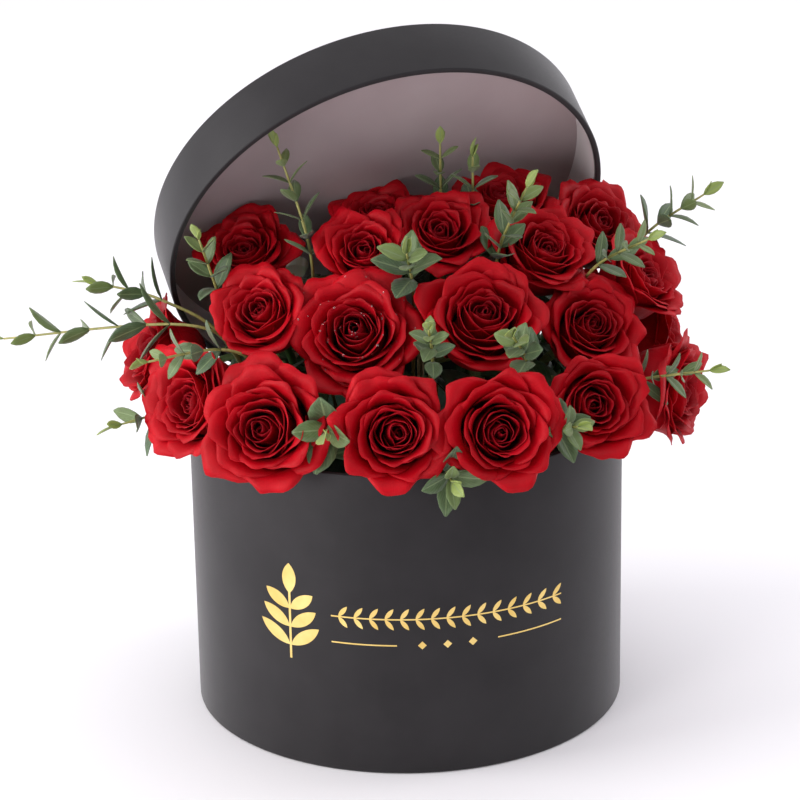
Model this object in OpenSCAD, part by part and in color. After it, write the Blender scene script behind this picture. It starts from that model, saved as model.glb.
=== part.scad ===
// Round flower box: paper-covered board box, open lid held up at the back, and a lift-out
// insert of foam, roses and greenery. Units are millimetres, +Z is up, the box stands on z = 0
// with its axis on the origin, and its front faces -Y.

/* [Box] */
// Outside radius over the paper
box_r = 125; // [110:1:150]
// Height of the rim
box_h = 178; // [120:1:220]
// Thickness of the side board
board = 2.5; // [1.5:0.1:4]
// Thickness of every covering paper
paper = 0.3; // [0.2:0.1:0.6]
// How far the covering paper turns in over the rim
turn_in = 15; // [6:1:30]
// Thickness of the gold foil
foil = 0.06; // [0.04:0.02:0.2]

/* [Lid] */
// Outside radius over the paper
lid_r = 129; // [127:0.5:155]
// Depth of the lid band
lid_h = 36; // [25:1:60]
// Lean of the lid back from level
lid_tilt = 58; // [40:1:80]
// Turn of the lid about the upright
lid_turn = 20; // [-30:1:30]
// Middle of the lid's mouth
lid_at = [-8, 15, 274];
// Radius of the wooden picks that hold the lid
pick_r = 2; // [1:0.5:4]
// Places of the picks inside the lid, from its middle
picks = [[-40, 58], [40, 58]];
// Depth that a pick goes into the foam
pick_in = 55; // [20:5:80]

/* [Insert] */
// Outside radius of the waterproof liner
liner_r = 120; // [100:0.5:121]
// Wall of the liner
liner_wall = 0.8; // [0.5:0.1:2]
// Top edge of the liner
liner_top = 169; // [150:1:176]
// Top of the foam
foam_top = 150; // [100:1:165]
// Depth that a twig goes into the foam
twig_in = 15; // [10:1:40]
// Depth that a rose stem goes into the foam
stem_in = 45; // [20:5:80]
// Radius of a rose stem
stem_r = 2.6; // [2:0.1:4]
// Radius of a greenery twig
twig_r = 0.9; // [0.6:0.1:2]
// Clearance around everything that is pushed into the foam
push_gap = 0.3; // [0.1:0.05:0.5]

/* [Roses] */
// Each rose: x, y, z of the foot of the bloom, heading from the front, rise from level, width
roses = [
    [-67, -91, 192, -15, 25, 66],
    [-7, -104, 196, 0, 20, 62],
    [46, -99, 194, 8, 22, 64],
    [97, -64, 195, 15, 20, 58],
    [-71, -42, 233, -22, 40, 54],
    [-23, -49, 223, -8, 35, 68],
    [39, -46, 225, 10, 45, 66],
    [96, -24, 217, 20, 35, 58],
    [-95, -58, 196, -48, 20, 64],
    [-114, -17, 204, -76, 25, 61],
    [122, -28, 193, 68, 2, 64],
    [120, 25, 198, 86, 20, 63],
    [-20, -24, 263, -5, 45, 50],
    [19, -5, 265, 10, 50, 52],
    [71, -7, 252, 25, 50, 56],
    [-84, 8, 249, -15, 55, 55],
    [-11, 29, 255, -10, 70, 54],
    [57, 31, 260, 10, 75, 58],
    [99, 41, 253, 40, 45, 56],
    [117, 2, 234, 62, 40, 54],
    [90, 68, 193, 125, 25, 56]
];

// Turn of each stem's pair of leaves about the stem, which keeps them off their neighbours
leaf_turn = [0, 0, 0, 0, 0, 0, 0, 30, -15, 45, 0, 30, 0, 0, 0, 0, 0, 0, 0, -15, 15];

/* [Greenery] */
// Each sprig: foot in the foam, two bends, tip, leaf pairs, leaf length, leaf width, start of leaves
sprigs = [
    [[-60, -25, 135], [-92, -33, 212], [-122, -45, 240], [-226, -25, 227], 6, 26, 7, 2.1],
    [[-64, -14, 135], [-98, -30, 222], [-135, -31, 250], [-172, -20, 257], 4, 22, 7, 2.0],
    [[-65, -34, 135], [-104, -42, 180], [-128, -48, 190], [-158, -62, 188], 2, 24, 9, 2.25],
    [[-45, -38, 135], [-70, -62, 208], [-96, -85, 238], [-138, -108, 240], 4, 18, 7, 2.1],
    [[-52, -14, 135], [-96, -24, 226], [-104, -37, 258], [-112, -48, 290], 4, 18, 7, 2.0],
    [[-30, -12, 135], [-48, -28, 225], [-52, -36, 282], [-68, -34, 338], 6, 19, 6, 1.9],
    [[3, -25, 135], [5, -40, 225], [5, -60, 264], [2, -80, 290], 4, 22, 9, 2.2],
    [[15, 10, 135], [22, 14, 240], [22, 12, 290], [22, 5, 328], 4, 17, 6, 2.0],
    [[28, -2, 135], [40, 0, 240], [40, 2, 290], [40, -2, 322], 3, 18, 7, 2.0],
    [[32, -18, 135], [50, -25, 230], [53, -36, 276], [68, -54, 318], 6, 20, 8, 1.9],
    [[52, -20, 135], [92, -12, 228], [106, -36, 266], [134, -62, 290], 5, 18, 6, 2.1],
    [[67, 27, 135], [116, 26, 222], [137, 20, 266], [172, 18, 292], 5, 20, 7, 2.1],
    [[6, -45, 135], [12, -68, 205], [15, -98, 234], [13, -116, 258], 5, 16, 7, 2.0],
    [[42, -42, 135], [64, -66, 205], [66, -94, 232], [58, -112, 252], 4, 16, 9, 2.0],
    [[-20, -50, 135], [-30, -80, 195], [-40, -112, 206], [-43, -136, 208], 2, 24, 11, 2.4],
    [[8, -58, 135], [14, -95, 183], [20, -126, 184], [24, -144, 182], 3, 22, 8, 2.3],
    [[40, -54, 135], [68, -78, 185], [78, -106, 197], [92, -128, 206], 4, 18, 8, 2.2],
    [[68, -24, 135], [98, -44, 190], [125, -62, 208], [166, -86, 222], 5, 18, 6, 2.1]
];

/* [Hidden] */
$fn = 96;
tube_out = box_r - paper;
tube_in = tube_out - board;
lining_r = tube_in - paper;
base_low = 2 * paper;
base_top = base_low + board;
floor_top = base_top + paper;
lid_out = lid_r - paper;
lid_in = lid_out - board;
lid_lining = lid_in - paper;
lid_roof = lid_h - 2 * paper - 2;
lid_ceiling = lid_roof - paper;
liner_low = floor_top + 0.4;
liner_in = liner_r - liner_wall;
foam_r = liner_in - 0.6;
foam_low = liner_low + liner_wall;

// Shared shapes

// A ring between two radii
module ring(r_in, r_out, h) {
    difference() {
        cylinder(h = h, r = r_out);
        translate([0, 0, -1])
            cylinder(h = h + 2, r = r_in);
    }
}

// Puts +Z of its contents along a direction
module along(p, d) {
    translate(p)
        rotate([0, acos(d[2] / norm(d)), atan2(d[1], d[0])])
            children();
}

// A round rod from one point to another
module rod(a, b, r) {
    along(a, b - a)
        cylinder(h = norm(b - a), r = r, $fn = 24);
}

// A flat blade with two pointed ends, running up +Z from the origin
module blade(l, w, t) {
    arc = (l * l + w * w) / (4 * w);
    rotate([0, -90, 0])
        linear_extrude(t, center = true)
            intersection() {
                translate([l / 2, arc - w / 2])
                    circle(arc);
                translate([l / 2, w / 2 - arc])
                    circle(arc);
            }
}

// A heading from the front and a rise from level, as a direction
function facing(heading, rise) = [
    sin(heading) * cos(rise), -cos(heading) * cos(rise), sin(rise)
];

// Box

module base_paper() {
    color([0.16, 0.16, 0.18])
        cylinder(h = paper, r = box_r - 4);
}

module box_base() {
    color([0.55, 0.5, 0.42])
        translate([0, 0, base_low])
            cylinder(h = board, r = tube_in);
}

module box_tube() {
    color([0.6, 0.55, 0.46])
        translate([0, 0, base_low])
            ring(tube_in, tube_out, box_h - paper - base_low);
}

// The wall paper, turned in over the rim and under the foot
module box_wrap() {
    color([0.19, 0.19, 0.21]) {
        translate([0, 0, paper])
            ring(tube_out, box_r, box_h - paper);
        translate([0, 0, box_h - paper])
            ring(tube_in - paper, box_r, paper);
        translate([0, 0, box_h - turn_in])
            ring(tube_in - paper, tube_in, turn_in);
        translate([0, 0, paper])
            ring(box_r - 16, box_r, paper);
    }
}

// The inside paper, over the floor and up the wall
module box_lining() {
    color([0.1, 0.1, 0.11]) {
        translate([0, 0, base_top])
            cylinder(h = paper, r = tube_in);
        translate([0, 0, base_top])
            ring(lining_r, tube_in, box_h - turn_in - base_top - 0.2);
    }
}

// Stands a flat drawing on the front of the wall, x across and y up
module on_front() {
    intersection() {
        ring(box_r, box_r + foil, box_h);
        rotate([90, 0, 0])
            linear_extrude(box_r + 5)
                children();
    }
}

// A solid leaf of the printed ornament
module printed_leaf(l, w) {
    arc = (l * l + w * w) / (4 * w);
    intersection() {
        translate([l / 2, arc - w / 2])
            circle(arc);
        translate([l / 2, w / 2 - arc])
            circle(arc);
    }
}

// A tall sprig of solid leaves on a straight stalk
module foil_sprig() {
    color([0.86, 0.7, 0.3])
        on_front()
            translate([-66, 64]) {
                translate([-0.6, 0])
                    square([1.2, 40]);
                for (k = [0:2]) {
                    translate([0.3, 8 + 11 * k])
                        rotate(38)
                            printed_leaf(20 - 2 * k, 7);
                    translate([-0.3, 8 + 11 * k])
                        rotate(142)
                            printed_leaf(20 - 2 * k, 7);
                }
                translate([0, 39])
                    rotate(90)
                        printed_leaf(18, 7.5);
            }
}

// A garland of small leaves over two short rules with a lozenge between
module foil_rule() {
    color([0.86, 0.7, 0.3])
        on_front() {
            translate([-43, 93.6])
                square([128, 0.8]);
            for (k = [0:14])
                translate([-39 + 8.5 * k, 94])
                    for (side = [1, -1])
                        rotate(side * 52)
                            printed_leaf(8, 2.6);
            for (x = [-43, 49])
                translate([x, 78])
                    square([36, 0.8]);
            for (x = [7, 21, 35])
                translate([x, 78.4])
                    rotate(45)
                        square([3.4, 3.4], center = true);
        }
}

// Lid, drawn mouth down and closed side up, then leaned back

module in_lid() {
    translate(lid_at)
        rotate([-lid_tilt, 0, lid_turn])
            children();
}

// A point of the lid's own space, in the space of the whole object
function lid_point(p) = lid_at + [
    p[0] * cos(lid_turn) - sin(lid_turn) * (p[1] * cos(lid_tilt) + p[2] * sin(lid_tilt)),
    p[0] * sin(lid_turn) + cos(lid_turn) * (p[1] * cos(lid_tilt) + p[2] * sin(lid_tilt)),
    p[2] * cos(lid_tilt) - p[1] * sin(lid_tilt)
];

module lid_tube() {
    color([0.6, 0.55, 0.46])
        in_lid()
            translate([0, 0, paper])
                ring(lid_in, lid_out, lid_h - 3 * paper);
}

module lid_disc() {
    color([0.6, 0.55, 0.46])
        in_lid()
            translate([0, 0, lid_roof])
                cylinder(h = 2, r = lid_in);
}

// The band paper, turned in at the mouth and over the top
module lid_wrap() {
    color([0.19, 0.19, 0.21])
        in_lid() {
            ring(lid_out, lid_r, lid_h - paper);
            ring(lid_lining, lid_r, paper);
            ring(lid_lining, lid_in, 1);
            translate([0, 0, lid_h - 2 * paper])
                ring(lid_r - 14, lid_r, paper);
        }
}

module lid_top_paper() {
    color([0.19, 0.19, 0.21])
        in_lid()
            translate([0, 0, lid_h - paper])
                cylinder(h = paper, r = lid_r - 1);
}

module lid_band_lining() {
    color([0.93, 0.91, 0.91])
        in_lid()
            translate([0, 0, 1])
                ring(lid_lining, lid_in, lid_ceiling - 1);
}

module lid_disc_lining() {
    color([0.93, 0.91, 0.91])
        in_lid()
            translate([0, 0, lid_ceiling])
                cylinder(h = paper, r = lid_in);
}

// An upright pick from the lid's ceiling down into the foam
module pick_body(k, r, foot) {
    top = lid_point([picks[k][0], picks[k][1], lid_ceiling]);
    low = foam_top - pick_in - foot;
    translate([top[0], top[1], low])
        cylinder(h = top[2] - low + 8, r = r, $fn = 24);
}

// Everything above the lid's ceiling
module above_ceiling() {
    in_lid()
        translate([-100, -100, lid_ceiling])
            cube([200, 200, 40]);
}

module lid_pick_left() {
    color([0.8, 0.66, 0.45])
        difference() {
            pick_body(0, pick_r, 0);
            above_ceiling();
        }
}

module lid_pick_right() {
    color([0.8, 0.66, 0.45])
        difference() {
            pick_body(1, pick_r, 0);
            above_ceiling();
        }
}

// Set glue around the head of each pick
module pick_glue() {
    color([0.9, 0.87, 0.75])
        difference() {
            in_lid()
                for (p = picks)
                    translate([p[0], p[1] + 3, lid_ceiling - 4])
                        cylinder(h = 4, r1 = 8, r2 = 11);
            pick_body(0, pick_r, 0);
            pick_body(1, pick_r, 0);
        }
}

// Insert

module liner() {
    color([0.07, 0.07, 0.08]) {
        translate([0, 0, liner_low])
            cylinder(h = liner_wall, r = liner_r);
        translate([0, 0, liner_low])
            ring(liner_in, liner_r, liner_top - liner_low);
    }
}

// Where rose k's neck bends, and where its stem ends in the foam
function rose_foot(k) = [roses[k][0], roses[k][1], roses[k][2]];
function rose_dir(k) = facing(roses[k][3], roses[k][4]);
function rose_neck(k) = rose_foot(k) - 16 * rose_dir(k);
function stem_end(k) = [
    rose_neck(k)[0] * 0.45, rose_neck(k)[1] * 0.45, foam_top - stem_in
];

// The point at height h on the line from a to b, and the same spot sunk into the foam
function at_height(a, b, h) = a + (b - a) * (h - a[2]) / (b[2] - a[2]);
function sunk(p, depth) = [p[0], p[1], foam_top - depth];
// Where a stem or a twig turns upright, just above the foam
function stem_knee(k) = at_height(stem_end(k), rose_neck(k), foam_top + 2.5);
function sprig_knee(s) = at_height(sprig_at(s, 0), sprig_at(s, 0.5), foam_top + 1);

// A point of sprig s, u from 0 at the foot to 3 at the tip
function pull(a, b, c, d, t) = 0.5 * (2 * b + (c - a) * t
    + (2 * a - 5 * b + 4 * c - d) * t * t + (3 * b - a - 3 * c + d) * t * t * t);
function sprig_knot(s, k) = sprigs[s][max(0, min(3, k))];
function sprig_seg(s, k, t) = pull(
    sprig_knot(s, k - 1), sprig_knot(s, k), sprig_knot(s, k + 1), sprig_knot(s, k + 2), t
);
function sprig_at(s, u) = sprig_seg(s, min(2, floor(u)), u - min(2, floor(u)));
function sprig_way(s, u) = sprig_at(s, min(3, u + 0.02)) - sprig_at(s, u - 0.02);

module floral_foam() {
    color([0.16, 0.36, 0.2])
        difference() {
            translate([0, 0, foam_low])
                cylinder(h = foam_top - foam_low, r = foam_r);
            for (k = [0:len(roses) - 1])
                translate(sunk(stem_knee(k), stem_in + 0.5))
                    cylinder(h = 80, r = stem_r + push_gap, $fn = 24);
            for (s = [0:len(sprigs) - 1])
                translate(sunk(sprig_knee(s), twig_in + 0.5))
                    cylinder(h = 80, r = twig_r + push_gap, $fn = 24);
            pick_body(0, pick_r + push_gap, 1);
            pick_body(1, pick_r + push_gap, 1);
        }
}

module rose_stems() {
    color([0.2, 0.4, 0.16])
        for (k = [0:len(roses) - 1]) {
            rod(sunk(stem_knee(k), stem_in), stem_knee(k), stem_r);
            rod(stem_knee(k), rose_neck(k), stem_r);
            for (joint = [stem_knee(k), rose_neck(k)])
                translate(joint)
                    sphere(stem_r + 0.3, $fn = 24);
            rod(rose_neck(k), rose_foot(k) - 9.2 * rose_dir(k), stem_r);
        }
}

// The green hip under each bloom, with five sepals bent back
module calyx() {
    translate([0, 0, -9])
        cylinder(h = 6, r1 = 3.2, r2 = 6, $fn = 32);
    translate([0, 0, -3])
        cylinder(h = 2.8, r1 = 6, r2 = 5.4, $fn = 32);
    for (a = [0:72:288])
        rotate([0, 0, a])
            translate([3.5, 0, -2.6])
                rotate([0, 112, 0])
                    blade(17, 5, 0.8);
}

module rose_calyces() {
    color([0.26, 0.46, 0.2])
        for (k = [0:len(roses) - 1])
            along(rose_foot(k), rose_dir(k))
                calyx();
}

// A pair of rose leaves halfway up the free part of each stem
module stem_leaves() {
    color([0.14, 0.32, 0.13])
        for (k = [0:len(roses) - 1]) {
            at = stem_end(k) + 0.73 * (rose_neck(k) - stem_end(k));
            along(at, rose_neck(k) - stem_end(k))
                for (side = [130, 230])
                    rotate([0, 0, side + leaf_turn[k]])
                        translate([stem_r + 0.7, 0, 0])
                            rotate([0, 45, 0])
                                blade(24, 12, 0.5);
        }
}

// A bloom as nested cups of petals, foot at the origin, opening up +Z
module bloom(w) {
    rotate_extrude($fn = 64)
        scale(w)
            polygon([
                [0, 0], [0.09, 0], [0.2, 0.05], [0.31, 0.14], [0.39, 0.27], [0.43, 0.4],
                [0.44, 0.5], [0.4, 0.51], [0.35, 0.47], [0.36, 0.58], [0.32, 0.59],
                [0.27, 0.53], [0.27, 0.65], [0.23, 0.67], [0.19, 0.6], [0.18, 0.71],
                [0.13, 0.72], [0.09, 0.63], [0, 0.6]
            ]);
}

module rose(k) {
    color([0.7, 0.02, 0.06])
        along(rose_foot(k), rose_dir(k))
            bloom(roses[k][5]);
}

// A twig with opposite leaves, each pair turned a quarter from the last, and one at the tip
module sprig(s) {
    pairs = sprigs[s][4];
    long = sprigs[s][5];
    wide = sprigs[s][6];
    from = sprigs[s][7];
    color([0.3, 0.46, 0.3]) {
        rod(sunk(sprig_knee(s), twig_in), sprig_knee(s), twig_r);
        rod(sprig_knee(s), sprig_at(s, 0.5), twig_r);
        along(sprig_knee(s), sprig_at(s, 0.5) - sprig_knee(s) + [0, 0, 10])
            sphere(twig_r + 0.2, $fn = 24);
        for (k = [1:5]) {
            rod(sprig_at(s, k / 2), sprig_at(s, (k + 1) / 2), twig_r);
            along(sprig_at(s, k / 2), sprig_at(s, (k + 1) / 2) - sprig_at(s, (k - 1) / 2))
                sphere(twig_r + 0.2, $fn = 24);
        }
        for (k = [0:pairs - 1]) {
            u = from + (2.9 - from) * k / pairs;
            small = 1 - 0.4 * k / pairs;
            along(sprig_at(s, u), sprig_way(s, u))
                for (side = [0, 180])
                    rotate([0, 0, side + 90 * k])
                        rotate([0, 52, 0])
                            blade(long * small, wide * small, 0.5);
        }
        along(sprig_at(s, 3), sprig_way(s, 3))
            translate([0, 0, -1])
                blade(long * 0.6, wide * 0.6, 0.5);
    }
}

module rose_01() {
    rose(0);
}

module rose_02() {
    rose(1);
}

module rose_03() {
    rose(2);
}

module rose_04() {
    rose(3);
}

module rose_05() {
    rose(4);
}

module rose_06() {
    rose(5);
}

module rose_07() {
    rose(6);
}

module rose_08() {
    rose(7);
}

module rose_09() {
    rose(8);
}

module rose_10() {
    rose(9);
}

module rose_11() {
    rose(10);
}

module rose_12() {
    rose(11);
}

module rose_13() {
    rose(12);
}

module rose_14() {
    rose(13);
}

module rose_15() {
    rose(14);
}

module rose_16() {
    rose(15);
}

module rose_17() {
    rose(16);
}

module rose_18() {
    rose(17);
}

module rose_19() {
    rose(18);
}

module rose_20() {
    rose(19);
}

module rose_21() {
    rose(20);
}

module sprig_01() {
    sprig(0);
}

module sprig_02() {
    sprig(1);
}

module sprig_03() {
    sprig(2);
}

module sprig_04() {
    sprig(3);
}

module sprig_05() {
    sprig(4);
}

module sprig_06() {
    sprig(5);
}

module sprig_07() {
    sprig(6);
}

module sprig_08() {
    sprig(7);
}

module sprig_09() {
    sprig(8);
}

module sprig_10() {
    sprig(9);
}

module sprig_11() {
    sprig(10);
}

module sprig_12() {
    sprig(11);
}

module sprig_13() {
    sprig(12);
}

module sprig_14() {
    sprig(13);
}

module sprig_15() {
    sprig(14);
}

module sprig_16() {
    sprig(15);
}

module sprig_17() {
    sprig(16);
}

module sprig_18() {
    sprig(17);
}

base_paper();
box_base();
box_tube();
box_wrap();
box_lining();
foil_sprig();
foil_rule();
lid_tube();
lid_disc();
lid_wrap();
lid_top_paper();
lid_band_lining();
lid_disc_lining();
lid_pick_left();
lid_pick_right();
pick_glue();
liner();
floral_foam();
rose_stems();
rose_calyces();
stem_leaves();
rose_01();
rose_02();
rose_03();
rose_04();
rose_05();
rose_06();
rose_07();
rose_08();
rose_09();
rose_10();
rose_11();
rose_12();
rose_13();
rose_14();
rose_15();
rose_16();
rose_17();
rose_18();
rose_19();
rose_20();
rose_21();
sprig_01();
sprig_02();
sprig_03();
sprig_04();
sprig_05();
sprig_06();
sprig_07();
sprig_08();
sprig_09();
sprig_10();
sprig_11();
sprig_12();
sprig_13();
sprig_14();
sprig_15();
sprig_16();
sprig_17();
sprig_18();
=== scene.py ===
"""Looks of the round flower box: papers, gold foil, roses, greenery and what holds them."""

import math
import random

import bpy
import numpy as np
from mathutils import Matrix, Vector


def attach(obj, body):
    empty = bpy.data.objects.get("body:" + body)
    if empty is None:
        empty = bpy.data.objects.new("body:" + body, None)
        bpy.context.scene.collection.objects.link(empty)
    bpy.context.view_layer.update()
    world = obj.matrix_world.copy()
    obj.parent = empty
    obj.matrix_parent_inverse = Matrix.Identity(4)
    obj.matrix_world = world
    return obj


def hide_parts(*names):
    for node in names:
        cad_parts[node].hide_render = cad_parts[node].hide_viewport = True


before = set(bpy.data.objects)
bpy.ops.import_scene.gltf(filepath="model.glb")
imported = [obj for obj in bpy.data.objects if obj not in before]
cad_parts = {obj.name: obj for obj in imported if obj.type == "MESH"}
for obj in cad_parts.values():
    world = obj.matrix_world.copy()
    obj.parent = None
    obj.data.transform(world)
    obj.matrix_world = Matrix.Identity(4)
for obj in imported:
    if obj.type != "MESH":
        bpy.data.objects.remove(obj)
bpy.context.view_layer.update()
scene = bpy.context.scene
scene.view_settings.view_transform = "Standard"

MM = 0.001
BOX_R, BOX_H, BOARD, PAPER = 125 * MM, 178 * MM, 2.5 * MM, 0.3 * MM
LID_R, LID_H = 129 * MM, 36 * MM
LID_AT, LID_TILT, LID_TURN = Vector((-8, 15, 274)) * MM, 58, 20
FOAM_TOP = 150  # in millimetres, as the two tables below are
AROUND = 224  # sides of a round paper
ANY_TURN = 6.28  # a random start anywhere round a circle

# Each rose: x, y, z of the foot of the bloom, heading from the front, rise from level, width,
# how far it has opened
ROSES = [
    (-67, -91, 192, -15, 25, 66, 0.8),
    (-7, -104, 196, 0, 20, 62, 0.6),
    (46, -99, 194, 8, 22, 64, 0.6),
    (97, -64, 195, 15, 20, 58, 0.6),
    (-71, -42, 233, -22, 40, 54, 0.5),
    (-23, -49, 223, -8, 35, 68, 0.8),
    (39, -46, 225, 10, 45, 66, 0.4),
    (96, -24, 217, 20, 35, 58, 0.7),
    (-95, -58, 196, -48, 20, 64, 0.7),
    (-114, -17, 204, -76, 25, 61, 0.6),
    (122, -28, 193, 68, 2, 64, 0.7),
    (120, 25, 198, 86, 20, 63, 0.6),
    (-20, -24, 263, -5, 45, 50, 0.6),
    (19, -5, 265, 10, 50, 52, 0.7),
    (71, -7, 252, 25, 50, 56, 0.5),
    (-84, 8, 249, -15, 55, 55, 0.6),
    (-11, 29, 255, -10, 70, 54, 0.6),
    (57, 31, 260, 10, 75, 58, 0.6),
    (99, 41, 253, 40, 45, 56, 0.6),
    (117, 2, 234, 62, 40, 54, 0.5),
    (90, 68, 193, 125, 25, 56, 0.6),
]
# Degrees by which the leaves on each rose's stem are turned, so that they miss their neighbours
LEAF_TURN = [0, 0, 0, 0, 0, 0, 0, 30, -15, 45, 0, 30, 0, 0, 0, 0, 0, 0, 0, -15, 15]

# Each sprig: foot in the foam, two bends, tip, leaf pairs, leaf length, leaf width, start of leaves
SPRIGS = [
    ((-60, -25, 135), (-92, -33, 212), (-122, -45, 240), (-226, -25, 227), 6, 26, 7, 2.1),
    ((-64, -14, 135), (-98, -30, 222), (-135, -31, 250), (-172, -20, 257), 4, 22, 7, 2.0),
    ((-65, -34, 135), (-104, -42, 180), (-128, -48, 190), (-158, -62, 188), 2, 24, 9, 2.25),
    ((-45, -38, 135), (-70, -62, 208), (-96, -85, 238), (-138, -108, 240), 4, 18, 7, 2.1),
    ((-52, -14, 135), (-96, -24, 226), (-104, -37, 258), (-112, -48, 290), 4, 18, 7, 2.0),
    ((-30, -12, 135), (-48, -28, 225), (-52, -36, 282), (-68, -34, 338), 6, 19, 6, 1.9),
    ((3, -25, 135), (5, -40, 225), (5, -60, 264), (2, -80, 290), 4, 22, 9, 2.2),
    ((15, 10, 135), (22, 14, 240), (22, 12, 290), (22, 5, 328), 4, 17, 6, 2.0),
    ((28, -2, 135), (40, 0, 240), (40, 2, 290), (40, -2, 322), 3, 18, 7, 2.0),
    ((32, -18, 135), (50, -25, 230), (53, -36, 276), (68, -54, 318), 6, 20, 8, 1.9),
    ((52, -20, 135), (92, -12, 228), (106, -36, 266), (134, -62, 290), 5, 18, 6, 2.1),
    ((67, 27, 135), (116, 26, 222), (137, 20, 266), (172, 18, 292), 5, 20, 7, 2.1),
    ((6, -45, 135), (12, -68, 205), (15, -98, 234), (13, -116, 258), 5, 16, 7, 2.0),
    ((42, -42, 135), (64, -66, 205), (66, -94, 232), (58, -112, 252), 4, 16, 9, 2.0),
    ((-20, -50, 135), (-30, -80, 195), (-40, -112, 206), (-43, -136, 208), 2, 24, 11, 2.4),
    ((8, -58, 135), (14, -95, 183), (20, -126, 184), (24, -144, 182), 3, 22, 8, 2.3),
    ((40, -54, 135), (68, -78, 185), (78, -106, 197), (92, -128, 206), 4, 18, 8, 2.2),
    ((68, -24, 135), (98, -44, 190), (125, -62, 208), (166, -86, 222), 5, 18, 6, 2.1),
]


# Camera, light and floor

CAMERA_AT, CAMERA_TURN, CAMERA_DOWN, CAMERA_ROLL = (0, -1.632, 0.760), 0.11, 19.65, -1.02
LENS, SENSOR = 135, 36
FRONT_GLOW, BACK_GLOW, TOP_GLOW = 0.06, 1.0, 1.35

# Each soft box: name, place, point it faces, size, power, colour
SOFT_BOXES = [
    ("left_box", (-1.95, -0.35, 0.75), (0, 0, 0.2), (1.1, 1.5), 25, (1, 0.99, 0.98)),
    ("window", (-1.3, -1.55, 0.45), (0, 0, 0.25), (0.6, 0.7), 14, (1, 0.97, 0.96)),
    ("right_box", (1.9, 0.6, 0.8), (0, 0, 0.2), (0.8, 1.6), 10, (0.97, 0.96, 1)),
    ("top_box", (-0.5, -0.7, 2.3), (0, 0, 0.22), (1.0, 1.0), 0.5, (1, 0.99, 0.98)),
]


def place_camera():
    lens = bpy.data.cameras.new("camera")
    lens.lens = LENS
    lens.sensor_width = SENSOR
    lens.clip_end = 50
    camera = bpy.data.objects.new("camera", lens)
    scene.collection.objects.link(camera)
    camera.matrix_world = (
        Matrix.Translation(CAMERA_AT)
        @ Matrix.Rotation(math.radians(CAMERA_TURN), 4, "Z")
        @ Matrix.Rotation(math.radians(90 - CAMERA_DOWN), 4, "X")
        @ Matrix.Rotation(math.radians(CAMERA_ROLL), 4, "Z")
    )
    scene.camera = camera


def soft_light(name, at, aim, size, power, color):
    data = bpy.data.lights.new(name, "AREA")
    data.shape = "RECTANGLE"
    data.size, data.size_y = size
    data.energy = power
    data.color = color
    light = bpy.data.objects.new(name, data)
    scene.collection.objects.link(light)
    light.location = at
    light.rotation_euler = (Vector(aim) - Vector(at)).to_track_quat("-Z", "Y").to_euler()


def light_studio():
    """A white surround, dim in front and bright behind and above, with soft boxes round it."""
    world = bpy.data.worlds.new("studio")
    world.use_nodes = True
    scene.world = world
    surround = world.node_tree.nodes["Background"]
    surround.inputs["Color"].default_value = (0.98, 0.965, 1.0, 1)
    way = node(world, "TexCoord").outputs["Generated"]
    axes = node(world, "SeparateXYZ", {"Vector": way})
    depth = spread(world, axes.outputs["Y"], -0.75, 0.35, FRONT_GLOW, BACK_GLOW)
    height = spread(world, axes.outputs["Z"], 0.1, 0.9, 0.0, 1.0)
    above = calc(world, "MULTIPLY", height, TOP_GLOW)
    join(world, calc(world, "MAXIMUM", depth, above), surround.inputs["Strength"])
    for soft_box in SOFT_BOXES:
        soft_light(*soft_box)


def lay_floor():
    bpy.ops.object.select_all(action="DESELECT")
    bpy.ops.mesh.primitive_plane_add(size=24, location=(0, 0, 0))
    floor = bpy.context.object
    floor.name = "floor"
    mat, _ = surface("floor_white", (0.93, 0.92, 0.94), 0.7)
    floor.data.materials.append(mat)


# Materials

CHARCOAL = (0.013, 0.0115, 0.013), (0.021, 0.019, 0.021)


def surface(name, color, rough, **sockets):
    """A named material with one Principled shader; sockets are given by name with _ for space."""
    mat = bpy.data.materials.new(name)
    mat.use_nodes = True
    shader = mat.node_tree.nodes["Principled BSDF"]
    shader.inputs["Base Color"].default_value = (*color, 1)
    shader.inputs["Roughness"].default_value = rough
    for key, value in sockets.items():
        shader.inputs[key.replace("_", " ")].default_value = value
    return mat, shader


def node(mat, kind, inputs=None, **settings):
    made = mat.node_tree.nodes.new("ShaderNode" + kind)
    for key, value in settings.items():
        setattr(made, key, value)
    for key, value in (inputs or {}).items():
        if isinstance(value, bpy.types.NodeSocket):
            mat.node_tree.links.new(value, made.inputs[key])
        else:
            made.inputs[key].default_value = value
    return made


def join(mat, socket, target):
    mat.node_tree.links.new(socket, target)


def object_space(mat, stretch=(1, 1, 1)):
    """Object coordinates, stretched along each axis."""
    coords = node(mat, "TexCoord")
    return node(mat, "Mapping", {"Vector": coords.outputs["Object"], "Scale": stretch}).outputs[0]


def noise(mat, vector, scale, detail, rough=0.6):
    inputs = {"Vector": vector, "Scale": scale, "Detail": detail, "Roughness": rough}
    return node(mat, "TexNoise", inputs).outputs["Fac"]


def calc(mat, operation, *values):
    """The result of a Math node; values are numbers or sockets."""
    return node(mat, "Math", dict(enumerate(values)), operation=operation).outputs[0]


def spread(mat, value, low, high, to_low=0.0, to_high=1.0):
    """Stretches the range from low to high over another one, and stops at its ends."""
    ends = {"From Min": low, "From Max": high, "To Min": to_low, "To Max": to_high}
    return node(mat, "MapRange", {"Value": value, **ends}).outputs[0]


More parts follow.
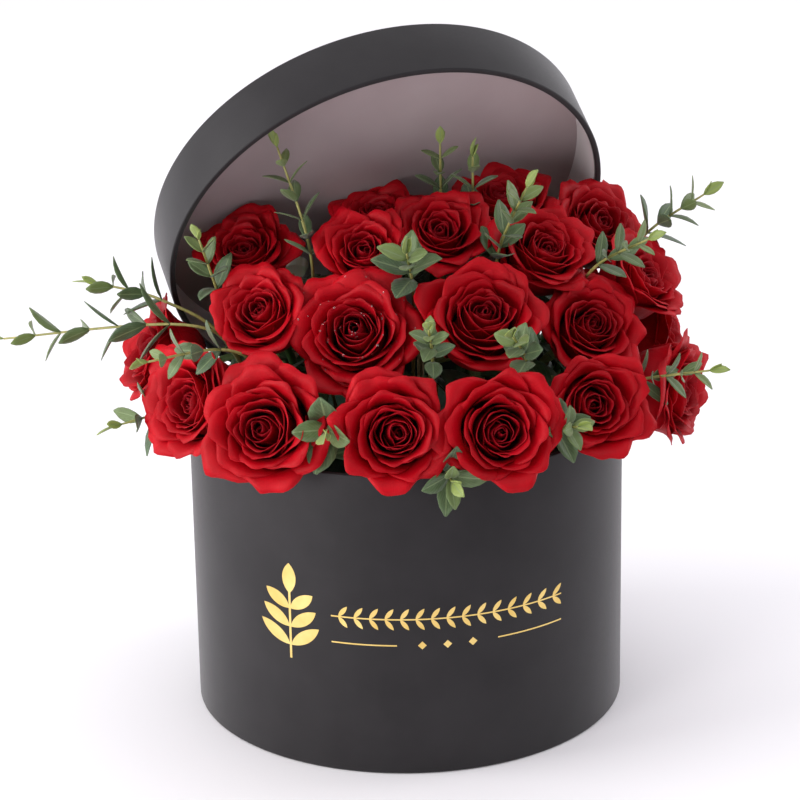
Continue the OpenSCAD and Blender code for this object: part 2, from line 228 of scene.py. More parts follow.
def blend(mat, factor, a, b):
    """Colour a to colour b by factor; a and b are colours or sockets."""
    made = node(mat, "Mix", data_type="RGBA")
    for key, value in (("Factor", factor), ("A", a), ("B", b)):
        spot = next(s for s in made.inputs if s.name == key and s.enabled)
        if isinstance(value, bpy.types.NodeSocket):
            join(mat, value, spot)
        else:
            spot.default_value = value if key == "Factor" else (*value, 1)
    return next(s for s in made.outputs if s.enabled)


def color_by(mat, shader, pattern, low, high):
    """Colours the surface from low to high by a pattern."""
    join(mat, blend(mat, pattern, low, high), shader.inputs["Base Color"])


def gloss_by(mat, shader, pattern, low, high, from_low=0.3, from_high=0.7):
    """Spreads the roughness from low to high by a pattern."""
    join(mat, spread(mat, pattern, from_low, from_high, low, high), shader.inputs["Roughness"])


def bump(mat, shader, height, strength, distance):
    made = node(mat, "Bump", {"Height": height, "Strength": strength, "Distance": distance})
    join(mat, made.outputs[0], shader.inputs["Normal"])


def covering_paper(name, color, light, seam=False):
    """Matt book-cloth paper: fine fibres, faint blotches, a lapped seam at the back if asked."""
    mat, shader = surface(
        name, color, 0.5, Specular_IOR_Level=0.24, Sheen_Weight=0.3, Sheen_Roughness=0.35
    )
    place = object_space(mat)
    blotch = spread(mat, noise(mat, place, 22, 3), 0.35, 0.7)
    fibre = noise(mat, object_space(mat, (1, 1, 2.4)), 900, 3, 0.7)
    tone = blend(mat, blotch, color, light)
    color_by(mat, shader, spread(mat, fibre, 0.3, 0.75, 0.0, 0.35), tone, light)
    gloss_by(mat, shader, fibre, 0.40, 0.60, 0.2, 0.8)
    height = fibre
    if seam:
        axes = node(mat, "SeparateXYZ", {"Vector": place})
        lap = spread(mat, axes.outputs["X"], -0.0002, 0.0002, 0.0, 1.5)
        behind = spread(mat, axes.outputs["Y"], 0.05, 0.051)
        height = calc(mat, "ADD", fibre, calc(mat, "MULTIPLY", lap, behind))
    bump(mat, shader, height, 0.35, 0.0002)
    return mat


def lining_paper(name, color, light):
    mat, shader = surface(name, color, 0.55, Specular_IOR_Level=0.35)
    place = object_space(mat)
    color_by(mat, shader, spread(mat, noise(mat, place, 14, 3), 0.3, 0.7), color, light)
    bump(mat, shader, noise(mat, place, 700, 3), 0.15, 0.0001)
    return mat


def grey_board():
    mat, shader = surface("grey_board", (0.36, 0.3, 0.22), 0.85)
    fleck = noise(mat, object_space(mat), 500, 5, 0.8)
    color_by(mat, shader, spread(mat, fleck, 0.35, 0.7), (0.28, 0.23, 0.17), (0.45, 0.38, 0.29))
    bump(mat, shader, fleck, 0.4, 0.0003)
    return mat


def gold_foil():
    mat, shader = surface("gold_foil", (0.86, 0.62, 0.2), 0.34, Metallic=1.0)
    place = object_space(mat)
    grain = noise(mat, place, 1400, 3, 0.7)
    cloud = spread(mat, noise(mat, place, 60, 3), 0.3, 0.7)
    color_by(mat, shader, cloud, (0.78, 0.54, 0.16), (0.92, 0.70, 0.27))
    gloss_by(mat, shader, grain, 0.26, 0.46, 0.2, 0.8)
    bump(mat, shader, grain, 0.25, 0.0001)
    return mat


def liner_plastic():
    mat, shader = surface("liner_black", (0.012, 0.012, 0.014), 0.28, Specular_IOR_Level=0.5)
    crinkle = noise(mat, object_space(mat, (1, 1, 0.35)), 60, 4, 0.7)
    gloss_by(mat, shader, crinkle, 0.2, 0.42)
    bump(mat, shader, crinkle, 0.6, 0.002)
    return mat


def wet_foam():
    mat, shader = surface("foam_green", (0.02, 0.12, 0.05), 0.8)
    place = object_space(mat)
    pores = noise(mat, place, 1100, 4, 0.8)
    patch = spread(mat, noise(mat, place, 30, 3), 0.3, 0.7)
    tone = blend(mat, patch, (0.012, 0.075, 0.03), (0.03, 0.15, 0.06))
    color_by(mat, shader, spread(mat, pores, 0.4, 0.65), (0.004, 0.03, 0.012), tone)
    bump(mat, shader, pores, 0.8, 0.0006)
    return mat


def bamboo():
    mat, shader = surface("pick_bamboo", (0.6, 0.44, 0.24), 0.6)
    grain = noise(mat, object_space(mat, (9, 9, 0.5)), 120, 4, 0.7)
    color_by(mat, shader, spread(mat, grain, 0.3, 0.7), (0.44, 0.29, 0.13), (0.72, 0.55, 0.32))
    bump(mat, shader, grain, 0.3, 0.0002)
    return mat


def set_glue():
    mat, shader = surface(
        "glue_set", (0.8, 0.75, 0.6), 0.25, Subsurface_Weight=0.3, Subsurface_Scale=0.003
    )
    swirl = noise(mat, object_space(mat), 160, 3)
    color_by(mat, shader, swirl, (0.72, 0.66, 0.5), (0.86, 0.82, 0.68))
    bump(mat, shader, swirl, 0.4, 0.0006)
    return mat


def petal_red():
    """Velvet petal: painted shade darkens its foot and the heart of the bloom; bright on the face,
    fine veins up its length.
    """
    mat, shader = surface(
        "petal_red",
        (0.6, 0.003, 0.014),
        0.5,
        Specular_IOR_Level=0.17,
        Sheen_Weight=0.03,
        Sheen_Roughness=0.35,
        Sheen_Tint=(1.0, 0.2, 0.22, 1),
        Subsurface_Weight=0.12,
        Subsurface_Radius=(0.004, 0.0006, 0.0006),
        Subsurface_Scale=0.4,
    )
    uv = node(mat, "UVMap", uv_map="petal").outputs[0]
    long_way = node(mat, "Mapping", {"Vector": uv, "Scale": (34, 2.2, 1)}).outputs[0]
    veins = noise(mat, long_way, 1.6, 5, 0.65)
    height_up = node(mat, "SeparateXYZ", {"Vector": uv}).outputs["Y"]
    place = object_space(mat)
    patch = spread(mat, noise(mat, place, 45, 3), 0.3, 0.72)
    # Painted shade: the depth value darkens the inner petals towards a deep red, standing for the
    # shade in the heart of the bloom
    depth = node(mat, "Attribute", attribute_name="depth", attribute_type="GEOMETRY")
    tone = blend(mat, patch, (0.36, 0.0, 0.004), (0.56, 0.0, 0.008))
    tone = blend(mat, spread(mat, veins, 0.35, 0.75, 0, 0.4), tone, (0.36, 0.0, 0.008))
    # Painted shade: each petal darkens towards its foot, standing for the shade where it sits
    # inside the petals around it
    foot = spread(mat, height_up, 0.15, 0.75, 0.85, 0.0)
    tone = blend(mat, foot, tone, (0.16, 0.0, 0.006))
    color_by(mat, shader, depth.outputs["Fac"], tone, (0.15, 0.0, 0.006))
    gloss_by(mat, shader, veins, 0.42, 0.6)
    velvet = noise(mat, place, 2600, 2, 0.6)
    bump(mat, shader, calc(mat, "ADD", veins, velvet), 0.28, 0.0004)
    return mat


def dew_drop():
    mat, shader = surface("dew_drop", (1, 0.9, 0.9), 0.03, IOR=1.33, Transmission_Weight=0.9)
    gloss_by(mat, shader, noise(mat, object_space(mat), 900, 2), 0.01, 0.05)
    return mat


def leaf_surface(name, dark, light, young, rib, gloss):
    """A leaf with a pale midrib and side veins; the tone attribute runs from old to young."""
    mat, shader = surface(name, dark, gloss, Specular_IOR_Level=0.45, Sheen_Weight=0.15)
    uv = node(mat, "UVMap", uv_map="leaf").outputs[0]
    split = node(mat, "SeparateXYZ", {"Vector": uv})
    across = calc(mat, "ABSOLUTE", calc(mat, "SUBTRACT", split.outputs["X"], 0.5))
    tone = node(mat, "Attribute", attribute_name="tone", attribute_type="GEOMETRY")
    mottle = spread(mat, noise(mat, object_space(mat), 160, 4, 0.7), 0.3, 0.7)
    slant = calc(mat, "MULTIPLY_ADD", across, -1.1, split.outputs["Y"])
    stripes = calc(mat, "SINE", calc(mat, "MULTIPLY", slant, 44.0))
    veins = spread(mat, stripes, 0.8, 1.0)
    midrib = spread(mat, across, 0.015, 0.05, 1.0, 0.0)
    color = blend(mat, mottle, dark, light)
    color = blend(mat, tone.outputs["Fac"], color, young)
    color = blend(mat, calc(mat, "MULTIPLY", veins, 0.35), color, rib)
    color_by(mat, shader, midrib, color, rib)
    gloss_by(mat, shader, mottle, gloss - 0.06, gloss + 0.12, 0, 1)
    bump(mat, shader, calc(mat, "ADD", veins, midrib), 0.3, 0.0003)
    return mat


def green_stalk(name, low, high):
    mat, shader = surface(name, low, 0.45)
    streak = noise(mat, object_space(mat, (3, 3, 0.6)), 110, 4, 0.7)
    color_by(mat, shader, spread(mat, streak, 0.3, 0.7), low, high)
    bump(mat, shader, streak, 0.3, 0.0003)
    return mat


# Making pieces


def mesh_piece(name, verts, faces, body, mats):
    """A smooth piece from points and faces already in place, riding on a body."""
    mesh = bpy.data.meshes.new(name)
    mesh.from_pydata([tuple(v) for v in verts], [], faces)
    mesh.update()
    for face in mesh.polygons:
        face.use_smooth = True
    for mat in mats:
        mesh.materials.append(mat)
    piece = bpy.data.objects.new(name, mesh)
    scene.collection.objects.link(piece)
    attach(piece, body)
    return piece


def only(piece):
    """Selects one piece and nothing else."""
    bpy.ops.object.select_all(action="DESELECT")
    piece.select_set(True)
    bpy.context.view_layer.objects.active = piece


def apply(piece, kind, **settings):
    """Adds a modifier and applies it."""
    only(piece)
    made = piece.modifiers.new(kind.lower(), kind)
    for key, value in settings.items():
        setattr(made, key, value)
    bpy.ops.object.modifier_apply(modifier=made.name)


def towards(point, direction):
    """Puts +Z along a direction with its foot at a point: tipped first, then turned about Z."""
    d = Vector(direction).normalized()
    rise = math.acos(max(-1, min(1, d.z)))
    turn = math.atan2(d.y, d.x)
    return (
        Matrix.Translation(point)
        @ Matrix.Rotation(turn, 4, "Z")
        @ Matrix.Rotation(rise, 4, "Y")
    )


def moved(points, matrix):
    """Points, one a row, through a 4x4."""
    m = np.array(matrix)
    return points @ m[:3, :3].T + m[:3, 3]


def facing(heading, rise):
    h, r = math.radians(heading), math.radians(rise)
    return Vector((math.sin(h) * math.cos(r), -math.cos(h) * math.cos(r), math.sin(r)))


def lid_stand():
    """Where the propped lid stands: its mouth at the foot, its closed side up +Z."""
    return (
        Matrix.Translation(LID_AT)
        @ Matrix.Rotation(math.radians(LID_TURN), 4, "Z")
        @ Matrix.Rotation(math.radians(-LID_TILT), 4, "X")
    )


def ease(a, b, x):
    """A smooth step from 0 at a to 1 at b."""
    t = np.clip((x - a) / (b - a), 0, 1)
    return t * t * (3 - 2 * t)


class Patchwork:
    """Collects grids of points into one mesh, with a UV and a value for every point."""

    def __init__(self):
        self.verts, self.faces, self.uvs, self.values, self.slots = [], [], [], [], []

    def take(self, points, uv, value):
        """Stores points and returns the number of the first one."""
        start = sum(len(v) for v in self.verts)
        self.verts.append(points)
        self.uvs.append(uv)
        self.values.append(np.full(len(points), float(value)))
        return start

    def add(self, points, across, along, uv, value, slot=0, closed=False):
        """A grid of faces; closed joins its last column to its first."""
        start = self.take(points, uv, value)
        row = across if closed else across + 1
        for a in range(along):
            for b in range(across):
                p = start + a * row + b
                q = start + a * row + (b + 1) % row
                self.faces.append((p, q, q + row, p + row))
                self.slots.append(slot)

    def lid(self, points, uv, value, slot):
        """Closes a ring of points with one face."""
        start = self.take(points, uv, value)
        self.faces.append(tuple(range(start, start + len(points))))
        self.slots.append(slot)

    def add_rings(self, points, sides, value, slot=0):
        """A closed skin through rings of points, with a face over each end."""
        uv = np.zeros((len(points), 2))
        self.add(points, sides, len(points) // sides - 1, uv, value, slot, closed=True)
        self.lid(points[:sides][::-1], uv[:sides], value, slot)
        self.lid(points[-sides:], uv[:sides], value, slot)

    def piece(self, name, slot, mats, uv_name, value_name, thickness=0.0):
        """Makes the piece, riding on the insert, and gives its open grids a thickness."""
        made = mesh_piece(name, np.concatenate(self.verts), self.faces, "insert", mats)
        mesh = made.data
        uvs = np.concatenate(self.uvs)
        layer = mesh.uv_layers.new(name=uv_name)
        index = np.zeros(len(mesh.loops), int)
        mesh.loops.foreach_get("vertex_index", index)
        layer.data.foreach_set("uv", uvs[index].astype(np.float32).ravel())
        values = mesh.attributes.new(value_name, "FLOAT", "POINT")
        values.data.foreach_set("value", np.concatenate(self.values).astype(np.float32))
        mesh.polygons.foreach_set("material_index", self.slots)
        if thickness:
            apply(made, "SOLIDIFY", thickness=thickness, offset=0.0)
        return made


def ring_points(profile, sides):
    """Rings about Z, one for each radius and height of a profile."""
    turns = [2 * math.pi * s / sides for s in range(sides)]
    return np.array([(r * math.cos(a), r * math.sin(a), h) for r, h in profile for a in turns])


def grid_uv(across, along):
    u, v = np.meshgrid(np.linspace(0, 1, across + 1), np.linspace(0, 1, along + 1))
    return np.stack([u.ravel(), v.ravel()], 1)


# Roses

PETALS, PETAL_ACROSS, PETAL_ALONG, PETAL_THICK = 38, 14, 12, 0.0004
GOLDEN_TURN = math.radians(137.5)


def petal_side(rng, rank, width, opened, length):
    """Radius and height of a petal's middle line, at even steps from its foot to its edge."""
    steps = np.linspace(0, 1.08, 66)
    foot = math.radians(16 + 47 * (1 - rank) ** 1.5)
    wall = math.radians(90 + 8 * (1 - rank) - 9 * opened * rank**2 + rng.uniform(-4, 4) * rank)
    curl = (75 + 70 * opened) * rank**1.5
    edge = math.radians(106 - curl + rng.uniform(-16, 16) * rank)
    lean = foot + (wall - foot) * ease(0.0, 0.36, steps)
    lean = lean + (edge - wall) * ease(0.70 - 0.14 * rank, 1.03, steps) ** 1.2
    middle = (lean[1:] + lean[:-1]) / 2
    stride = length * (steps[1] - steps[0])
    r = np.concatenate([[0], np.cumsum(np.cos(middle))]) * stride
    z = np.concatenate([[0], np.cumsum(np.sin(middle))]) * stride
    girth = width * (0.028 + 0.325 * rank**0.88)
    r = r + (girth - np.interp(0.6, steps, r)) * ease(0.0, 0.45, steps)
    return steps, r, z


def petal_points(rng, rank, width, opened):
    """One petal of a bloom whose foot is at the origin. rank 0 is the heart, 1 the outermost."""
    u = np.linspace(-1, 1, PETAL_ACROSS + 1)[None, :].repeat(PETAL_ALONG + 1, 0)
    v = np.linspace(0, 1, PETAL_ALONG + 1)[:, None].repeat(PETAL_ACROSS + 1, 1)
    length = width * (0.56 + 0.24 * rank**0.8) * rng.uniform(0.95, 1.05)
    half = width * (0.17 + 0.22 * rank**0.7) * rng.uniform(0.92, 1.08)

    # Distance up the petal, less at the sides, with a small point near the middle of its edge
    point = rng.uniform(0, 0.035) * rank * np.exp(-((u - rng.uniform(-0.3, 0.3)) ** 2) / 0.02)
    up = v * (1 - (0.13 + 0.05 * rank) * np.abs(u) ** 2.2 + point * v**4)
    steps, r, z = petal_side(rng, rank, width, opened, length)
    radius = np.interp(up.ravel(), steps, r).reshape(up.shape) + 0.022 * width
    height = np.interp(up.ravel(), steps, z).reshape(up.shape)

    # Narrow foot, broad shoulders, round top
    crown = np.sqrt(np.clip(1 - (np.clip(v - 0.62, 0, 1) / 0.52) ** 2.6, 0, 1))
    breadth = half * (0.3 + 0.7 * ease(0.0, 0.55, v)) * crown
    angle = u * np.minimum(breadth / np.maximum(radius, 0.045 * width), math.radians(150))

    # One flank tucked in and the other out, flatter than the ring it sits on, edges rolled back
    radius = radius * (1 + rng.uniform(0.03, 0.08) * u * (1 - 0.3 * rank))
    radius = radius / np.cos(np.clip(angle * (0.12 + 0.06 * rank), -1.2, 1.2))
    roll = ease(0.5, 1.0, np.abs(u)) * ease(0.45, 1.0, v)
    radius = radius + width * (0.010 + 0.014 * rank * (0.4 + opened)) * roll
    height = height - width * 0.05 * rank * roll

    # A slow wave and a finer ruffle, both growing towards the edge
    wave = np.sin(u * rng.uniform(2.2, 4.5) + rng.uniform(0, ANY_TURN)) * v**3
    ruffle = np.sin(u * rng.uniform(7, 11) + rng.uniform(0, ANY_TURN)) * v**6
    radius = radius + width * (0.020 * (0.4 + rank) * wave + 0.008 * (0.3 + rank) * ruffle)
    height = height + width * (0.018 * wave + 0.010 * ruffle)
    return np.stack(
        [(radius * np.cos(angle)).ravel(), (radius * np.sin(angle)).ravel(), height.ravel()], 1
    )


def press_clear(points, middle):
    """Keeps a bloom's points off the lid's ceiling, the lid's band and the box's rim."""
    gap, soft = 1.2 * MM, 4 * MM
    stand = lid_stand()
    p = moved(points, stand.inverted())
    ceiling = LID_H - 2 * PAPER - BOARD
    r = np.hypot(p[:, 0], p[:, 1])
    past = np.clip(p[:, 2] - (ceiling - 3 * gap), 0, None)
    pressed = (ceiling - gap) - 2 * gap * np.exp(-past / soft)
    p[:, 2] = np.where((r < LID_R) & (past > 0), pressed, p[:, 2])
    band = (r > LID_R - BOARD - 2.5 * MM) & (r < LID_R + 1.5 * MM) & (p[:, 2] > -gap)
    below_mouth = (stand.inverted() @ middle).z < 0
    if below_mouth:
        p[:, 2] = np.where(band, -gap, p[:, 2])
    points = moved(p, stand)
    r = np.hypot(points[:, 0], points[:, 1])
    over_rim = BOX_H + MM
    rim = (r > BOX_R - BOARD - 2 * MM) & (r < BOX_R + MM) & (points[:, 2] < over_rim)
    points[:, 2] = np.where(rim, over_rim, points[:, 2])
    return points


def make_rose(k, mat):
    """A bloom of petals, each a golden turn further round and further out than the one before."""
    x, y, z, heading, rise, width, opened = ROSES[k]
    width *= MM
    rng = random.Random(40 + k)
    bloom = Patchwork()
    spin, slip = rng.uniform(0, ANY_TURN), rng.uniform(0, ANY_TURN)
    stand = towards(Vector((x, y, z)) * MM, facing(heading, rise))
    middle = stand @ Vector((0, 0, 0.4 * width))
    uv = grid_uv(PETAL_ACROSS, PETAL_ALONG)
    for i in range(PETALS):
        rank = i / (PETALS - 1)
        points = petal_points(rng, rank, width, opened)
        aside = 0.05 * width * (1 - rank) ** 1.5
        heart = Matrix.Translation((aside * math.cos(slip), aside * math.sin(slip), 0))
        turn = Matrix.Rotation(spin + i * GOLDEN_TURN + rng.uniform(-0.3, 0.3), 4, "Z")
        lean = Matrix.Rotation(rng.uniform(-0.05, 0.05), 4, "Y")
        points = press_clear(moved(points, stand @ heart @ turn @ lean), middle)
        # The value stored with each petal is painted shade for the heart of the bloom, strongest on
        # the innermost petals
        bloom.add(points, PETAL_ACROSS, PETAL_ALONG, uv, 0.75 * (1 - rank) ** 2)
    name = "rose_%02d" % (k + 1)
    piece = bloom.piece(name + "_petals", "petal_red", [mat], "petal", "depth", PETAL_THICK)
    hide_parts(name)


DROPS, DROP_SIDES, DROP_HEIGHT = 170, 8, 0.75
DROP_SMALL, DROP_LARGE = 0.25, 0.75
DEW_ABOVE = 225 * MM


def make_dew(mat):
    """Fine drops standing on the upper petals of the middle bloom."""
    rng = random.Random(5)
    bloom = bpy.data.objects["rose_06_petals"]
    front = scene.camera.matrix_world.translation
    wet = []
    for face in bloom.data.polygons:
        level = face.normal.z > 0.15
        to_front = face.normal.dot((front - face.center).normalized()) > 0.35
        if level and to_front and face.center.z > DEW_ABOVE:
            wet.append(face.index)
    work = Patchwork()
    for _ in range(DROPS):
        face = bloom.data.polygons[rng.choice(wet)]
        size = rng.uniform(DROP_SMALL, DROP_LARGE) * MM
        profile = [
            (size * math.cos(math.radians(a)), size * DROP_HEIGHT * math.sin(math.radians(a)))
            for a in (0, 35, 65, 85)
        ]
        points = moved(ring_points(profile, DROP_SIDES), towards(face.center, face.normal))
        work.add_rings(points, DROP_SIDES, 0)
    work.piece("rose_06_dew", "petal_red", [mat], "petal", "depth")


# Leaves, twigs, stems

LEAF_BREADTH, LEAF_LENGTH = 1.5, 1.12
LEAF_THICK, TWIG_R, TIP_R = 0.00035, 0.0009, 0.0004
# How far a twig or a stem stands in the foam, and how far above the foam it bends
TWIG_DEEP, TWIG_KNEE = 15, 1
STEM_DEEP, STEM_KNEE = 45, 2.5


def leaf_points(length, width, fold, droop, twist, across=4, along=5):
    """A leaf running up +Z with its face towards -X, folded a little on its midrib."""
    u = np.linspace(-1, 1, across + 1)[None, :].repeat(along + 1, 0)
    v = np.linspace(0, 1, along + 1)[:, None].repeat(across + 1, 1)
    outline = np.sin(np.pi * np.clip(v * 0.97 + 0.015, 0, 1)) ** 0.75
    y = u * outline * width / 2
    x = -np.abs(u) * outline * width * fold + droop * length * v**2
    z = v * length
    turn = twist * v
    x, y = x * np.cos(turn) - y * np.sin(turn), x * np.sin(turn) + y * np.cos(turn)
    return np.stack([x.ravel(), y.ravel(), z.ravel()], 1)


def tube_points(path, radii, sides):
    """Rings of points round a path."""
    path = [Vector(p) for p in path]
    rings = []
    side = Vector((1, 0, 0))
    for i, p in enumerate(path):
        way = (path[min(i + 1, len(path) - 1)] - path[max(i - 1, 0)]).normalized()
        side = (side - way * side.dot(way)).normalized()
        over = way.cross(side)
        for s in range(sides):
            a = 2 * math.pi * s / sides
            rings.append(p + (side * math.cos(a) + over * math.sin(a)) * radii[i])
    return np.array([tuple(q) for q in rings])


def pull(a, b, c, d, t):
    """A point of the smooth curve from b to c; a and d are the points before and after."""
    return 0.5 * (
        2 * b + (c - a) * t + (2 * a - 5 * b + 4 * c - d) * t * t + (3 * b - a - 3 * c + d) * t**3
    )


def on_sprig(s, u):
    """A point of the twig, u from 0 at the foot to 3 at the tip."""
    knots = [Vector(p) for p in SPRIGS[s][:4]]
    u = max(0.0, min(3.0, u))
    k = min(2, int(u))
    pick = [knots[max(0, min(3, k + j))] for j in (-1, 0, 1, 2)]
    return pull(*pick, u - k) * MM


def make_sprig(s, leaf_mat, twig_mat):
    """A twig with crossed pairs of leaves that get smaller and paler towards its tip."""
    pairs, length, width, start = SPRIGS[s][4:]
    rng = random.Random(900 + s)
    work = Patchwork()
    spots = np.linspace(0.5, 3, 21)
    path = upright_foot(on_sprig(s, 0), on_sprig(s, 0.5), TWIG_KNEE, TWIG_DEEP)
    radii = [TWIG_R] * len(path) + [TWIG_R - (TWIG_R - TIP_R) * (u / 3) ** 2 for u in spots]
    path += [on_sprig(s, u) for u in spots]
    work.add_rings(tube_points(path, radii, 7), 7, 0.0, slot=1)

    def leaf(u, roll, splay, size, tone):
        way = on_sprig(s, u + 0.02) - on_sprig(s, u - 0.02)
        points = leaf_points(
            length * MM * size * LEAF_LENGTH,
            width * MM * size * LEAF_BREADTH,
            fold=rng.uniform(0.08, 0.2),
            droop=rng.uniform(-0.05, 0.16),
            twist=rng.uniform(-0.3, 0.3),
        )
        stand = (
            towards(on_sprig(s, u), way)
            @ Matrix.Rotation(math.radians(roll), 4, "Z")
            @ Matrix.Rotation(math.radians(splay), 4, "Y")
        )
        work.add(moved(points, stand), 4, 5, grid_uv(4, 5), tone)

    for k in range(pairs):
        u = start + (2.9 - start) * k / pairs
        size = 1 - 0.4 * k / pairs
        for side in (0, 180):
            leaf(
                u,
                side + 90 * k + rng.uniform(-14, 14),
                52 + rng.uniform(-12, 10),
                size * rng.uniform(0.88, 1.08),
                0.55 * (k / pairs) ** 2 + rng.uniform(0, 0.12),
            )
    leaf(3.0, rng.uniform(0, 90), 6, 0.6, 0.75)
    leaf(3.0, rng.uniform(100, 160), 24, 0.4, 0.9)
    name = "sprig_%02d" % (s + 1)
    mats = [leaf_mat, twig_mat]
    piece = work.piece(name + "_leaves", "leaf_grey", mats, "leaf", "tone", LEAF_THICK)
    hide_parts(name)


def stem_ends(k):
    """Foot of the bloom, bend of the neck and aim of the stem of rose k, in metres."""
    x, y, z, heading, rise = ROSES[k][:5]
    foot = Vector((x, y, z))
    neck = foot - 16 * facing(heading, rise)
    end = Vector((neck.x * 0.45, neck.y * 0.45, FOAM_TOP - STEM_DEEP))
    return foot * MM, neck * MM, end * MM


def upright_foot(a, b, above, depth):
    """From a point in the foam to the knee just above it, where the line from a to b leaves."""
    knee = a.lerp(b, ((FOAM_TOP + above) * MM - a.z) / (b.z - a.z))
    sunk = Vector((knee.x, knee.y, (FOAM_TOP - depth) * MM))
    return [sunk, sunk.lerp(knee, 0.9), knee]


def make_stems(mat):
    work = Patchwork()
    for k in range(len(ROSES)):
        foot, neck, end = stem_ends(k)
        path = upright_foot(end, neck, STEM_KNEE, STEM_DEEP)
        path += [path[-1].lerp(neck, t) for t in (0.3, 0.6, 0.9)]
        path += [neck.lerp(foot, t) for t in (0.15, 0.42)]
        radii = [0.0026] * 3 + [0.0024] * 4 + [0.0026]
        work.add_rings(tube_points(path, radii, 10), 10, 0)
    piece = work.piece("rose_stems_green", "stem_green", [mat], "leaf", "tone")
    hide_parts("rose_stems")


# Radius and height of the hip under a bloom, from its foot
HIP = [(3.0, -9.4), (4.2, -8.6), (5.6, -6.4), (6.2, -4.2), (5.9, -2.0), (5.2, 0.2)]
SEPALS = 5
GREEN_THICK = 0.0004


def make_calyces(mat):
    """The green hip under each bloom and the sepals bent back from it."""
    work = Patchwork()
    rng = random.Random(11)
    hip = [(r * MM, h * MM) for r, h in HIP]
    for k in range(len(ROSES)):
        stand = towards(stem_ends(k)[0], facing(*ROSES[k][3:5]))
        work.add_rings(moved(ring_points(hip, 14), stand), 14, 0.2)
        for j in range(SEPALS):
            sepal = leaf_points(0.019, 0.006, 0.1, rng.uniform(0.15, 0.4), rng.uniform(-0.4, 0.4))
            turn = (
                Matrix.Rotation(math.radians(360 / SEPALS * j + rng.uniform(-8, 8)), 4, "Z")
                @ Matrix.Translation((0.0046, 0, -0.0022))
                @ Matrix.Rotation(math.radians(104 + rng.uniform(-14, 14)), 4, "Y")
            )
            work.add(moved(sepal, stand @ turn), 4, 5, grid_uv(4, 5), 0.3)
    piece = work.piece("rose_calyces_green", "calyx_green", [mat], "leaf", "tone", GREEN_THICK)
    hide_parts("rose_calyces")


# The leaves of one rose's stem: turn round it, place along it, splay, size
STEM_LEAVES = [
    (130, 0.73, 45, 1),
    (230, 0.73, 45, 1),
    (60, 0.9, 70, 1.35),
    (180, 0.95, 75, 1.3),
    (300, 0.92, 70, 1.35),
]


def make_stem_leaves(mat):
    work = Patchwork()
    rng = random.Random(23)
    for k in range(len(ROSES)):
        _, neck, end = stem_ends(k)
        for side, along, splay, size in STEM_LEAVES:
            stand = towards(end.lerp(neck, along), neck - end)
            turn = (
                Matrix.Rotation(math.radians(side + LEAF_TURN[k]), 4, "Z")
                @ Matrix.Translation((0.0026, 0, 0))
                @ Matrix.Rotation(math.radians(splay), 4, "Y")
            )
            bend, twist = rng.uniform(0, 0.2), rng.uniform(-0.2, 0.2)
            blade = leaf_points(0.028 * size, 0.018 * size, 0.12, bend, twist, 6, 8)
            work.add(moved(blade, stand @ turn), 6, 8, grid_uv(6, 8), rng.uniform(0, 0.3))
    piece = work.piece("stem_leaves_green", "leaf_dark", [mat], "leaf", "tone", GREEN_THICK)
    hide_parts("stem_leaves")


# Papers with rounded, turned-in edges


def select_ring(piece, radius, height):
    """In edit mode, selects only the ring of edges at a radius and a height."""
    bpy.ops.object.mode_set(mode="OBJECT")
    for part in (piece.data.vertices, piece.data.edges, piece.data.polygons):
        part.foreach_set("select", [False] * len(part))
    near = 0.05 * MM
    for point in piece.data.vertices:
        place = point.co
        if abs(math.hypot(place.x, place.y) - radius) < near and abs(place.z - height) < near:
            point.select = True
    bpy.ops.object.mode_set(mode="EDIT")


def draw_ring(piece, line):
    """Extrudes the open ring at the first point of a line through its other points."""
    for (radius, height), (next_radius, next_height) in zip(line, line[1:]):
        select_ring(piece, radius, height)
        bpy.ops.mesh.extrude_region()
        scale = next_radius / radius
        bpy.ops.transform.resize(value=(scale, scale, 1), center_override=(0, 0, 0))
        bpy.ops.transform.translate(value=(0, 0, next_height - height))


def paper_skin(name, radius, low, high, foot, rim, corners, body, mat, stand=None):
    """Paper round a wall: a tube whose two edges are drawn in, its corners rounded."""
    bpy.ops.object.select_all(action="DESELECT")
    bpy.ops.mesh.primitive_cylinder_add(
        vertices=AROUND,
        radius=radius,
        depth=high - low,
        end_fill_type="NOTHING",
        location=(0, 0, (low + high) / 2),
    )
    piece = bpy.context.object
    piece.name = piece.data.name = name
    bpy.ops.object.transform_apply(location=True, rotation=True, scale=True)
    bpy.ops.object.mode_set(mode="EDIT")
    bpy.context.tool_settings.mesh_select_mode = (True, False, False)
    draw_ring(piece, [(radius, low)] + foot)
    draw_ring(piece, [(radius, high)] + rim)
    for corner_radius, height, round_by in corners:
        select_ring(piece, corner_radius, height)
        bpy.ops.mesh.bevel(offset=round_by, segments=4, affect="EDGES")
    bpy.ops.mesh.select_all(action="SELECT")
    bpy.ops.mesh.normals_make_consistent(inside=False)
    bpy.ops.object.mode_set(mode="OBJECT")
    bpy.ops.object.shade_smooth_by_angle(angle=math.radians(60))
    if stand is not None:
        piece.data.transform(stand)
    piece.data.materials.append(mat)
    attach(piece, body)
    apply(piece, "SOLIDIFY", thickness=PAPER, offset=-1.0)
    return piece


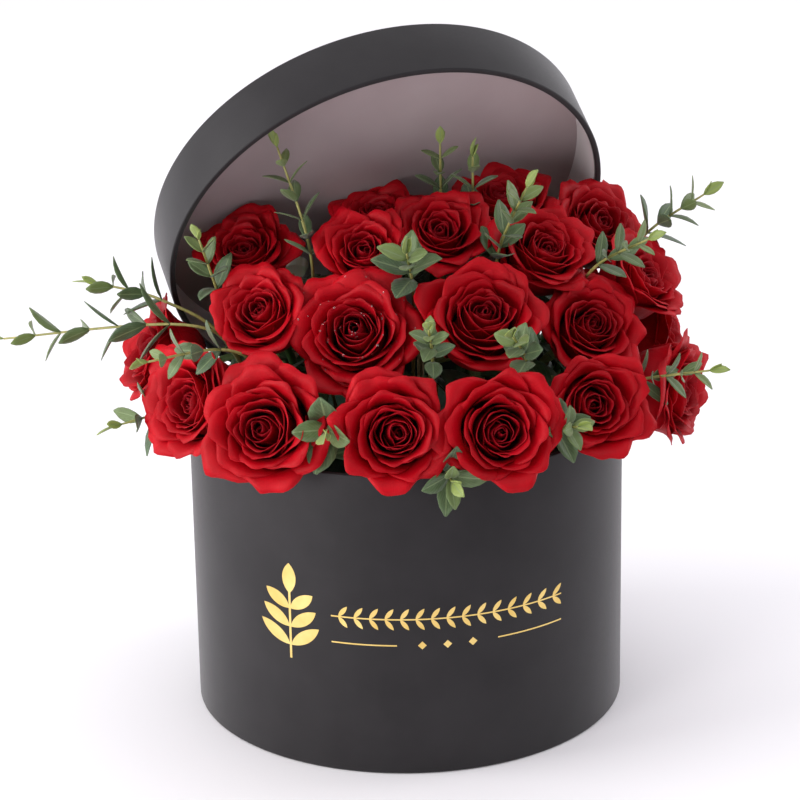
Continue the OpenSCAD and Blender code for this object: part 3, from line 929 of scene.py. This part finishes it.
def make_wraps(mat, seamed):
    inside, rounded = BOX_R - 2 * PAPER - BOARD, 0.9 * MM
    wrap = paper_skin(
        "box_wrap_paper",
        BOX_R,
        PAPER,
        BOX_H,
        foot=[(BOX_R - 15 * MM, PAPER)],
        rim=[(inside, BOX_H), (inside, BOX_H - 15 * MM)],
        corners=[(BOX_R, PAPER, rounded), (BOX_R, BOX_H, rounded), (inside, BOX_H, rounded)],
        body="box",
        mat=seamed,
    )
    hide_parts("box_wrap")
    # The lid's paper laps a little over its lining at the mouth
    inside, top = LID_R - 3 * PAPER - BOARD, LID_H - PAPER
    lid = paper_skin(
        "lid_wrap_paper",
        LID_R,
        0,
        top,
        foot=[(inside, 0), (inside, 2.6 * MM)],
        rim=[(LID_R - 14 * MM, top)],
        corners=[(LID_R, 0, rounded), (LID_R, top, rounded), (inside, 0, 0.7 * MM)],
        body="lid",
        mat=mat,
        stand=lid_stand(),
    )
    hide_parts("lid_wrap")


def paint(names, mat):
    """Gives pieces that keep their plain shape a finished material."""
    for name in names:
        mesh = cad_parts[name].data
        mesh.materials.clear()
        mesh.materials.append(mat)


# Everything, in order

place_camera()
light_studio()
lay_floor()

charcoal = covering_paper("charcoal_paper", *CHARCOAL)
charcoal_seamed = covering_paper("charcoal_paper_seamed", *CHARCOAL, seam=True)
black = covering_paper("black_paper", (0.012, 0.012, 0.013), (0.024, 0.024, 0.026))
paint(["box_base", "box_tube", "lid_tube", "lid_disc"], grey_board())
paint(["box_lining"], black)
paint(["base_paper", "lid_top_paper"], charcoal)
paint(["foil_sprig", "foil_rule"], gold_foil())
paint(["lid_band_lining"], lining_paper("band_white", (0.74, 0.69, 0.70), (0.80, 0.76, 0.77)))
# Painted shade: the disc's lining is the same white paper as the band's, coloured far darker to
# stand for the shade inside the lid
paint(["lid_disc_lining"], lining_paper("disc_white_shaded", (0.42, 0.34, 0.35), (0.48, 0.40, 0.41)))
paint(["lid_pick_left", "lid_pick_right"], bamboo())
paint(["pick_glue"], set_glue())
paint(["liner"], liner_plastic())
paint(["floral_foam"], wet_foam())
make_wraps(charcoal, charcoal_seamed)

red = petal_red()
for k in range(len(ROSES)):
    make_rose(k, red)
make_dew(dew_drop())
grey_leaf = leaf_surface(
    "leaf_grey",
    dark=(0.034, 0.068, 0.028),
    light=(0.075, 0.135, 0.06),
    young=(0.30, 0.38, 0.08),
    rib=(0.20, 0.27, 0.12),
    gloss=0.40,
)
twig = green_stalk("twig_yellow", (0.24, 0.26, 0.07), (0.42, 0.36, 0.12))
for s in range(len(SPRIGS)):
    make_sprig(s, grey_leaf, twig)
make_stems(green_stalk("stem_green", (0.05, 0.13, 0.03), (0.09, 0.2, 0.05)))
calyx = leaf_surface(
    "calyx_green",
    dark=(0.07, 0.16, 0.04),
    light=(0.12, 0.25, 0.07),
    young=(0.2, 0.3, 0.08),
    rib=(0.2, 0.3, 0.12),
    gloss=0.5,
)
make_calyces(calyx)
dark_leaf = leaf_surface(
    "leaf_dark",
    dark=(0.015, 0.05, 0.014),
    light=(0.03, 0.09, 0.025),
    young=(0.08, 0.16, 0.04),
    rib=(0.1, 0.18, 0.06),
    gloss=0.4,
)
make_stem_leaves(dark_leaf)
